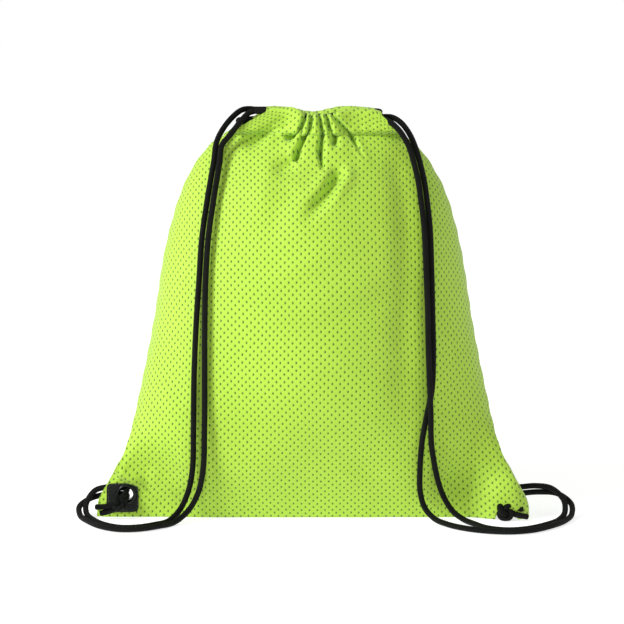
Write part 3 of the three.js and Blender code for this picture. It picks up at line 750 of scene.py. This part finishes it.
# the points of each fold are (x, z), and a negative depth is a ridge
frontFolds = [
    ([(-5.3, 322), (-5.6, 314), (-8, 307), (-10.9, 298.7), (-14, 296.5), (-21, 295.6)], 1.7, 8.5, 0, 0.35),
    ([(-0.6, 322), (-0.8, 315), (-3.1, 299), (-10.9, 287.3), (-13.6, 281), (-27, 275.8)], 1.7, 8.5, 0, 0.45),
    ([(4.5, 322), (4.7, 315), (7.8, 297.2), (5.4, 285.2), (7, 275.8), (10.9, 270.7)], 1.6, 8.5, 0, 0.45),
    ([(10, 322), (10.1, 315), (14, 299.5), (17.5, 294.8), (15.5, 287.3)], 1.6, 8.0, 0, 0.35),
    ([(14.6, 322), (14.8, 315), (27.2, 300), (34.2, 289.5), (44.3, 274.3)], 1.7, 7.0, 0, 0.5),
    ([(-12, 297), (-18, 295), (-24, 295)], 3.0, 4.6, 0.4, 0.5),
    ([(-9, 288), (-12.5, 283), (-16, 279)], 3.2, 4.8, 0.4, 0.5),
    ([(7, 292), (6, 286), (8, 280)], 2.6, 3.6, 0.4, 0.5),
    ([(16, 296), (17, 291), (15, 286)], 3.0, 4.4, 0.4, 0.5),
    ([(-14.8, 308.5), (-23.3, 306), (-37, 299.5), (-49, 291.6), (-54, 284)], 4.6, 4.8, 0.3, 0.4),
    ([(-16, 302), (-30, 297), (-42, 288)], 4.0, -1.6, 0.3, 0.4),
    ([(-14, 280), (-24, 275), (-34, 273)], 6.0, 3.4, 0.2, 0.6),
    ([(20.1, 277.3), (20, 269.3), (11.6, 256.2), (3.1, 246.7), (-2.3, 240), (-7, 229)], 5.0, 7.6, 0.3, 0.5),
    ([(26, 280), (26, 266), (17, 252), (8, 242)], 5.4, -3.2, 0.3, 0.5),
    ([(13, 276), (10, 266), (3, 257), (-6, 250)], 5.0, -2.6, 0.3, 0.5),
    ([(30, 296), (38, 284), (46, 272)], 3.4, -1.5, 0.3, 0.5),
    ([(-28, 290), (-38, 262), (-44, 232)], 9, -1.6, 0.4, 0.5),
    ([(-10, 262), (-24, 244), (-40, 214)], 9, 1.6, 0.3, 0.5),
    ([(62, 290), (69, 262), (71, 230), (70, 180), (68, 120), (70, 70)], 10, 3.0, 0.15, 0.3),
    ([(86, 262), (92, 220), (96, 170)], 12, -1.8, 0.3, 0.4),
    ([(-64, 285), (-74, 250), (-78, 200), (-80, 140)], 8, 1.4, 0.2, 0.4),
    ([(-60, 180), (-20, 196), (20, 214), (48, 224)], 9, -1.5, 0.4, 0.5),
    ([(-40, 150), (10, 158), (52, 176), (60, 196)], 10, 1.5, 0.4, 0.4),
    ([(20, 128), (60, 120), (104, 108)], 9, 1.8, 0.4, 0.4),
    ([(-130, 110), (-112, 96), (-98, 70)], 9, -1.4, 0.4, 0.4),
    ([(-20, 60), (30, 48), (64, 30)], 10, 1.4, 0.4, 0.4),
    ([(-132, 38), (-118, 26), (-104, 12)], 7, -2.0, 0.3, 0.4),
    ([(118, 60), (132, 44), (146, 34)], 9, -2.4, 0.3, 0.4),
    ([(100, 40), (116, 24), (130, 12)], 8, 2.2, 0.3, 0.4),
]
backFolds = [
    ([(0, 322), (0, 308), (1, 290), (-2, 262)], 2.0, 3.6, 0, 0.5),
    ([(-7, 322), (-8, 308), (-13, 292), (-20, 268)], 2.0, 3.4, 0, 0.5),
    ([(7, 322), (8, 308), (13, 290), (22, 262)], 2.0, 3.6, 0, 0.5),
    ([(-14, 322), (-15, 306), (-26, 290), (-44, 262)], 2.4, 3.2, 0, 0.5),
    ([(14, 322), (15, 306), (28, 288), (40, 270)], 2.4, 3.2, 0, 0.5),
    ([(-40, 240), (-30, 190), (-34, 130), (-46, 80)], 14, 3.0, 0.2, 0.3),
    ([(50, 230), (42, 170), (48, 110)], 15, 2.6, 0.2, 0.3),
    ([(-90, 60), (-40, 34), (10, 30), (60, 38)], 9, 2.2, 0.3, 0.3),
    ([(110, 44), (70, 60), (30, 66)], 8, -1.8, 0.3, 0.4),
]


def slowNoise(a, b, seed, size, count=7):
    # a sum of sine waves in seeded directions, all near one wavelength
    rng = np.random.default_rng(seed)
    angle = rng.uniform(0, np.pi, count)
    wave = rng.uniform(0.7, 1.6, count) * 2 * np.pi / size
    phase = rng.uniform(0, 2 * np.pi, count)
    total = sum(np.sin(wave[i] * (a * np.cos(angle[i]) + b * np.sin(angle[i])) + phase[i])
                for i in range(count))
    return total / count


frontGather = {
    "middle": 5, "stitch": 299, "fan": 0.02, "swell": 6.6, "swellReach": 21, "crown": 6.5, "crownMiddle": 12,
    "crownReach": 58, "hem": 4.2, "hemHeight": 298.2, "hemReach": 6, "hemEnds": (52, 72),
    "ripple": 0.22, "ripplePitch": 3.1, "rippleReach": 14, "ears": 0.28, "earPitch": 8.5, "earMiddle": 40,
    "earReach": 22, "seed": 3,
}
backGather = {**frontGather, "crown": 0, "seed": 8}


def gatherRelief(x, z, s):
    # the gathered cloth puffs out between its creases: a swell in the middle of the rim, a broad crown
    # over the middle of the panel, a tent over the stitch line, fine upright ripples in the middle that
    # fan out downwards, and low waves at both ears
    spread = (x - s["middle"]) / (1 + np.maximum(0, s["stitch"] - z) * s["fan"])
    swell = s["swell"] * np.exp(-(np.abs(spread) / s["swellReach"]) ** 4) * smooth(z, 270, 300)
    crown = (s["crown"] * np.exp(-(((x - s["crownMiddle"]) / s["crownReach"]) ** 2))
             * smooth(z, 20, 120) * (1 - smooth(z, 240, 285)))
    hem = (s["hem"] * np.exp(-np.sqrt(((z - s["hemHeight"]) / s["hemReach"]) ** 2 + 0.03))
           * (1 - smooth(np.abs(x), *s["hemEnds"])))
    start = np.random.default_rng(s["seed"]).uniform(0, 6)
    ripple = (s["ripple"] * np.cos(2 * np.pi * spread / s["ripplePitch"] + start)
              * np.exp(-(spread / s["rippleReach"]) ** 4) * smooth(z, 290, 304))
    ears = (s["ears"] * np.cos(2 * np.pi * x / s["earPitch"] + 1)
            * np.exp(-((np.abs(x) - s["earMiddle"]) / s["earReach"]) ** 2)
            * smooth(z, 292, 300) * (1 - smooth(z, 300, 312)))
    return swell + crown + hem + ripple + ears


# the right corner's curl over its eyelet with the arch the knot comes out of (middle, half width, height),
# and the left corner's fold that hangs over the top of its patch
cornerCurl = {"x": 151.0, "z": 17.0, "wide": 21.0, "high": 24.0, "power": 2.6, "reach": 15.0, "outwards": 1.2,
              "arch": (150.5, 8.6, 10.0), "eyeletHole": 6.15, "hangForwards": 6.0, "hangDown": 1.6}
cornerHang = [([(-160, 44), (-151.5, 38), (-146.8, 34.5), (-138, 30), (-130, 24)], 4.2, -1.0, 0.2, 0.35)]


def clothPiece(side):
    grid = panelGrid
    # columns lie closer together in the middle and rows closer near the gathers
    across = np.linspace(-1, 1, grid["columns"] + 1)
    across = across * (0.58 + 0.42 * across**2)
    up = 1 - np.linspace(1, 0, grid["panelRows"] + 1)
    up = 1 - (1 - up) * (0.55 + 0.45 * (1 - up))
    turn = np.linspace(0, 1, grid["rimRows"] + 1)[1:]
    a, u = np.meshgrid(across, up)
    b, t = np.meshgrid(across, turn)
    base = np.vstack([bagSurface(side, a, u), rimSurface(side, b, t)])
    rows, columns = base.shape[:2]
    # flat place: the way along each row from the middle, and up each column from the bottom edge
    stepX = np.linalg.norm(np.diff(base, axis=1), axis=2)
    flatU = np.concatenate([np.zeros((rows, 1)), np.cumsum(stepX, axis=1)], axis=1)
    flatU -= flatU[:, columns // 2][:, None]
    stepZ = np.linalg.norm(np.diff(base, axis=0), axis=2)
    flatV = np.concatenate([np.zeros((1, columns)), np.cumsum(stepZ, axis=0)], axis=0)
    # outward direction of the smooth surface
    dx, dz = np.gradient(base, axis=1), np.gradient(base, axis=0)
    normal = unit(-side * np.cross(dx, dz))
    x, z = base[..., 0], base[..., 2]
    relief = foldRelief(x, z, frontFolds if side < 0 else backFolds)
    relief = relief + gatherRelief(x, z, frontGather if side < 0 else backGather)
    edge = 1 - np.abs(b[:1])
    calm = smooth(edge, 0.0, 0.06)
    relief = relief + 0.55 * slowNoise(flatU, flatV, 11 + side, 90) * calm
    relief = relief + 0.22 * slowNoise(flatU, flatV, 21 + side, 34) * calm
    relief = relief + 0.3 * np.exp(-(edge / 0.05) ** 2) * np.sin(flatV / 3.1) * smooth(flatV, 20, 60)
    corner = np.hypot(np.abs(x) - bag["eyeletX"], z - bag["eyeletZ"])
    relief = relief * smooth(corner, 14, 24)
    # the panel moves along its own outward direction; both layers of the rim move together and their
    # fold sinks
    panel = np.arange(rows)[:, None] <= grid["panelRows"]
    points = base + normal * (relief * panel)[..., None]
    climb = np.concatenate([np.zeros(grid["panelRows"] + 1), 1 - np.abs(2 * turn - 1)])[:, None]
    innerLayer = np.concatenate([np.zeros(grid["panelRows"] + 1), (turn > 0.5) * 1.0])[:, None]
    inwards = lerp(relief, np.minimum(relief, 0), smooth(1 - climb, 0.0, 0.25))
    shift = np.where(innerLayer > 0, inwards, relief)
    points[..., 1] += side * shift * ~panel
    # the outer layer keeps clear of the cords inside it
    keep = 11.3 * smooth(climb, 0.12, 0.3) * (1 - smooth(climb, 0.8, 1.0)) * (innerLayer == 0) * ~panel
    points[..., 1] = np.where(keep > 1, side * np.maximum(side * points[..., 1], keep), points[..., 1])
    sink = 0.55 * np.minimum(relief - 1.5, 0) * smooth(climb, 0.6, 1.0) * ~panel
    points[..., 2] += sink * np.exp(-((x - 5) / 22) ** 4)
    if side < 0:
        hang = foldRelief(x, z, cornerHang)
        points[..., 1] -= cornerCurl["hangForwards"] * hang
        points[..., 2] -= cornerCurl["hangDown"] * hang
        # points inside the arch are pushed out to its edge, so the opening there has a clean curve
        archX, archWide, archHigh = cornerCurl["arch"]
        away = np.maximum(np.hypot((x - archX) / archWide, z / archHigh), 1e-3)
        push = np.where((away < 1) & (points[..., 1] < 0), 1 / away - 1, 0)
        points[..., 0] += (x - archX) * np.minimum(push, 30)
        points[..., 2] += z * np.minimum(push, 30)
        curl = np.exp(-np.abs((x - cornerCurl["x"]) / cornerCurl["wide"]) ** cornerCurl["power"]
                      - np.abs((z - cornerCurl["z"]) / cornerCurl["high"]) ** cornerCurl["power"])
        curl = curl * smooth(edge, 0.0, 0.10) ** 0.6
        points[..., 1] -= cornerCurl["reach"] * curl
        points[..., 0] += cornerCurl["outwards"] * curl
    points[..., 2] = np.maximum(points[..., 2], 0.0)
    # the front stays in front of the middle plane and the back's rim stays behind it
    if side < 0:
        points[..., 1] = np.minimum(points[..., 1], -0.3)
    else:
        points[..., 1] = np.where(panel, points[..., 1], np.maximum(points[..., 1], 0.3))
    # the knit's rows wander a little with the way the cloth is pulled
    flatU = flatU + 1.2 * slowNoise(flatU, flatV, 31 + side, 80)
    flatV = flatV + 1.6 * slowNoise(flatU, flatV, 41 + side, 90)
    uv = np.stack([flatU, flatV], axis=-1).reshape(-1, 2) * mm
    faces = gridFaces(rows, columns)
    centre = base.reshape(-1, 3)[faces].mean(axis=1)
    reach = np.hypot(np.abs(centre[:, 0]) - bag["eyeletX"], centre[:, 2] - bag["eyeletZ"])
    opened = reach < cornerCurl["eyeletHole"]
    if side < 0:
        opened = opened & (centre[:, 0] < 0)
        opened = opened | (np.hypot((centre[:, 0] - archX) / archWide, centre[:, 2] / archHigh) < 1)
    faces = faces[~(opened & (centre[:, 1] < 0))]
    if side > 0:
        faces = faces[:, ::-1]
    half = "front" if side < 0 else "back"
    used, renamed = np.unique(faces, return_inverse=True)
    piece = makeMesh(f"{half}_cloth", points.reshape(-1, 3)[used] * mm, [renamed.reshape(faces.shape)],
                     limeMesh, uv[used])
    wall = piece.modifiers.new("wall", "SOLIDIFY")
    wall.thickness = bag["thickness"] * mm
    wall.offset = -1
    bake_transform(piece)
    if side < 0:
        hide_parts("front_panel", "front_rim")
    else:
        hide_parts("back_panel", "back_rim", "left_seam_allowance", "right_seam_allowance",
                    "bottom_seam_allowance")
    return points


frontPoints = clothPiece(-1)
backPoints = clothPiece(1)
print("cloth made")


# Stitching

def stitchSurfaces(places, ways, normals, length, radius):
    # a small capsule for each stitch: five rings of six points along its way, flattened at both ends
    along = np.array([-0.5, -0.42, 0.0, 0.42, 0.5]) * length
    size = np.array([0.35, 0.85, 1.0, 0.85, 0.35]) * radius
    turn = 2 * np.pi * np.arange(6) / 6
    other = np.cross(ways, normals)
    ring = (np.cos(turn)[None, None, :, None] * other[:, None, None]
            + np.sin(turn)[None, None, :, None] * normals[:, None, None])
    sag = -0.35 * radius * (np.abs(along) / (0.5 * length)) ** 2
    points = (places[:, None, None] + ways[:, None, None] * along[None, :, None, None]
              + normals[:, None, None] * sag[None, :, None, None] + ring * size[None, :, None, None])
    count = len(places)
    quads = gridFaces(5, 6, wrapColumns=True)
    caps = np.array([[5, 4, 3, 2, 1, 0], [24, 25, 26, 27, 28, 29]])
    base = (np.arange(count) * 30)[:, None, None]
    faces = [(quads[None] + base).reshape(-1, 4)[:, ::-1], (caps[None] + base).reshape(-1, 6)[:, ::-1]]
    return points.reshape(-1, 3), faces


def rowOfStitches(name, line, normal, pitch, length, radius, material):
    # stitches at equal distances along a line that lies on the cloth
    stations = evenStations(line, pitch)
    ways = unit(np.gradient(stations, axis=0))
    at, along = np.linspace(0, 1, len(stations)), np.linspace(0, 1, len(line))
    normals = np.stack([np.interp(at, along, normal[:, k]) for k in range(3)], axis=1)
    normals = unit(normals - ways * (normals * ways).sum(1)[:, None])
    points, faces = stitchSurfaces(stations, ways, normals, length, radius)
    return makeMesh(name, points * mm, faces, material)


def clothLine(points, row, firstColumn, lastColumn, side, lift):
    line = points[row, firstColumn:lastColumn + 1]
    dx = np.gradient(points[row], axis=0)
    dz = points[row + 1] - points[row - 1]
    normal = unit(-side * np.cross(dx, dz))[firstColumn:lastColumn + 1]
    return line + normal * lift, normal


stitching = {"row": panelGrid["panelRows"] + 3, "pitch": 3.1, "length": 2.3, "radius": 0.33}
for side, body, points in ((-1, "front_rim", frontPoints), (1, "back_rim", backPoints)):
    line, normal = clothLine(points, stitching["row"], 6, panelGrid["columns"] - 6, side, 0.12)
    name = f"{body}_stitches"
    row = rowOfStitches(name, line, normal, stitching["pitch"], stitching["length"], stitching["radius"],
                        limeThread)
    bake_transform(row)
    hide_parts(f"{body}_thread")
print("stitching made")


# Corner patches

patchShape = {"inset": 20.5, "middle": 15.5, "width": 25.0, "height": 23.0, "power": 7.0, "bore": 5.9,
              "thickness": 1.0, "face": 2.6}
patchStitch = {"pitch": 2.9, "length": 2.1, "radius": 0.3, "lift": 0.12}


def patchSurface(sign, side, settings, rings=10, around=96):
    # a rounded square drawn in towards its bore ring by ring, a little domed and lifted at its stitched
    # border, then closed behind; a turn angle and a share from the bore to the border are its parameters
    turn = 2 * np.pi * np.arange(around) / around
    c, s = np.cos(turn), np.sin(turn)
    # the power of the superellipse gives the corners their radius
    size = (np.abs(c) ** settings["power"] + np.abs(s) ** settings["power"]) ** (-1 / settings["power"])
    ex, ez = c * size * settings["width"] / 2, s * size * settings["height"] / 2
    inner = np.linspace(0.94, 0.0, rings)
    share = np.concatenate([[0.965, 1.0, 1.0, 0.985], inner])
    rise = np.concatenate([[0.0, 0.12, 0.7, 0.95], 1.0 - 0.16 * np.exp(-((inner - 0.86) / 0.05) ** 2)])
    centreX = sign * (bag["halfWidth"] - settings["inset"])
    eyeX, eyeZ = sign * bag["eyeletX"] - centreX, bag["eyeletZ"] - settings["middle"]
    px = lerp(eyeX + settings["bore"] * c[None], ex[None], share[:, None])
    pz = lerp(eyeZ + settings["bore"] * s[None], ez[None], share[:, None])
    y = side * (settings["face"] + settings["thickness"] * rise[:, None]) + 0 * px
    back = np.stack([px[-1], np.full(around, side * settings["face"]), pz[-1]], axis=-1)
    front = np.stack([px, y, pz], axis=-1)
    points = np.concatenate([front, back[None]])
    points = points + np.array([centreX, bag["flapY"], settings["middle"]])
    faces = gridFaces(len(points), around, wrapRows=True, wrapColumns=True)
    return points, faces[:, ::-1] if side > 0 else faces


for label, sign in (("left", -1), ("right", 1)):
    for face, side in (("front", -1), ("back", 1)):
        points, faces = patchSurface(sign, side, patchShape)
        uv = points.reshape(-1, 3)[:, [0, 2]] * mm
        name = f"{label}_{face}_corner_patch"
        patch = makeMesh(name, points.reshape(-1, 3) * mm, [faces], coatedPatch, uv)
        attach(patch, "bag")
        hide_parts(f"{label}_{face}_patch")
        ring = np.vstack([points[5], points[5][:1]])
        normals = np.tile([0.0, side, 0.0], (len(ring), 1))
        seam = rowOfStitches(f"{label}_{face}_patch_stitches", ring + normals * patchStitch["lift"], normals,
                             patchStitch["pitch"], patchStitch["length"], patchStitch["radius"], blackThread)
        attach(seam, "bag")


# Eyelets

eyeletShape = {
    "bore": 5.3, "barrel": 5.9, "flange": 8.0, "crest": 1.8, "front": -43.36, "back": -36.16,
    "gap": 0.3, "washer": 0.8, "washerBore": 6.2, "bevel": 0.22, "flareWidth": 1.0, "flareHeight": 0.7,
    "around": 72,
}


def latheSurface(profile, x, z, around):
    # a closed profile of radius and y turned once round an axis along y
    turn = 2 * np.pi * np.arange(around) / around
    radius, depth = np.array(profile, float).T
    points = np.stack([
        x + radius[:, None] * np.cos(turn)[None], np.broadcast_to(depth[:, None], (len(depth), around)),
        z + radius[:, None] * np.sin(turn)[None],
    ], axis=-1)
    return points, gridFaces(len(profile), around, wrapRows=True, wrapColumns=True)[:, ::-1]


def eyeletProfiles(s):
    turn = np.linspace(0, np.pi, 15)
    middle, half = (s["bore"] + s["flange"]) / 2, (s["flange"] - s["bore"]) / 2
    crown = [(middle - half * np.cos(t), s["front"] - s["gap"] - s["crest"] * np.sin(t) ** 0.8) for t in turn]
    flare = s["back"] + s["gap"] + s["washer"] + s["gap"]
    roll = np.linspace(0, np.pi, 9)
    rearMiddle = (s["bore"] + s["barrel"] + s["flareWidth"]) / 2
    rearHalf = (s["barrel"] + s["flareWidth"] - s["bore"]) / 2
    rolled = [(rearMiddle + rearHalf * np.cos(t), flare + s["flareHeight"] * np.sin(t)) for t in roll]
    barrel = [(s["barrel"], s["front"] - s["gap"] + 0.02), (s["barrel"], flare)]
    ring = crown + barrel + rolled[:-1] + [(s["bore"], flare)]
    low, high = s["back"] + s["gap"], s["back"] + s["gap"] + s["washer"]
    inner, outer, bevel = s["washerBore"], s["flange"], s["bevel"]
    washer = [(inner, low), (outer - bevel, low), (outer, low + bevel), (outer, high - bevel),
              (outer - bevel, high), (inner + bevel, high), (inner, high - bevel)]
    return ring, washer


ringProfile, washerProfile = eyeletProfiles(eyeletShape)
for label, sign in (("left", -1), ("right", 1)):
    for part, profile in (("eyelet", ringProfile), ("eyelet_washer", washerProfile)):
        points, faces = latheSurface(profile, sign * bag["eyeletX"], bag["eyeletZ"], eyeletShape["around"])
        metal = makeMesh(f"{label}_{part}_ring", points.reshape(-1, 3) * mm, [faces], blackNickel)
        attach(metal, "bag")
        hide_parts(f"{label}_{part}")
print("corners made")


# Floor and light

studio = {"seen": 1.0, "light": 0.50, "floorHalf": 6.0, "floorHeight": -0.0002,
          "floorColour": (0.55, 0.55, 0.55, 1), "floorGlow": 0.72}


def addFloor(settings):
    size, z = settings["floorHalf"], settings["floorHeight"]
    points = np.array([(-size, -size, z), (size, -size, z), (size, size, z), (-size, size, z)])
    material, _, shader, _, _ = startMaterial("paleFloor", 0.9, Specular_IOR_Level=0.1)
    shader.inputs["Base Color"].default_value = settings["floorColour"]
    shader.inputs["Emission Color"].default_value = (1, 1, 1, 1)
    shader.inputs["Emission Strength"].default_value = settings["floorGlow"]
    floor = makeMesh("floor", points, [np.array([[0, 1, 2, 3]])], material)


def addArea(name, place, aim, size, power):
    data = bpy.data.lights.new(name, "AREA")
    data.energy, data.size = power, size
    lamp = bpy.data.objects.new(name, data)
    lamp.location = place
    lamp.rotation_euler = (Vector(aim) - Vector(place)).to_track_quat("-Z", "Y").to_euler()
    scene.collection.objects.link(lamp)


def addWorld(settings):
    # a white room that lights the bag a little less than it shows
    world = bpy.data.worlds.new("studio")
    world.use_nodes = True
    tree = world.node_tree
    shown, lit = tree.nodes["Background"], tree.nodes.new("ShaderNodeBackground")
    for node, strength in ((shown, settings["seen"]), (lit, settings["light"])):
        node.inputs["Color"].default_value = (1, 1, 1, 1)
        node.inputs["Strength"].default_value = strength
    path, mix = tree.nodes.new("ShaderNodeLightPath"), tree.nodes.new("ShaderNodeMixShader")
    tree.links.new(path.outputs["Is Camera Ray"], mix.inputs[0])
    tree.links.new(lit.outputs[0], mix.inputs[1])
    tree.links.new(shown.outputs[0], mix.inputs[2])
    tree.links.new(mix.outputs[0], tree.nodes["World Output"].inputs[0])
    scene.world = world


addFloor(studio)
addWorld(studio)
addArea("key", (-1.75, -1.0, 1.45), (0, 0, 0.16), 0.7, 56)
addArea("fill", (1.4, -2.0, 0.9), (0, 0, 0.15), 1.6, 4)
print("studio made")
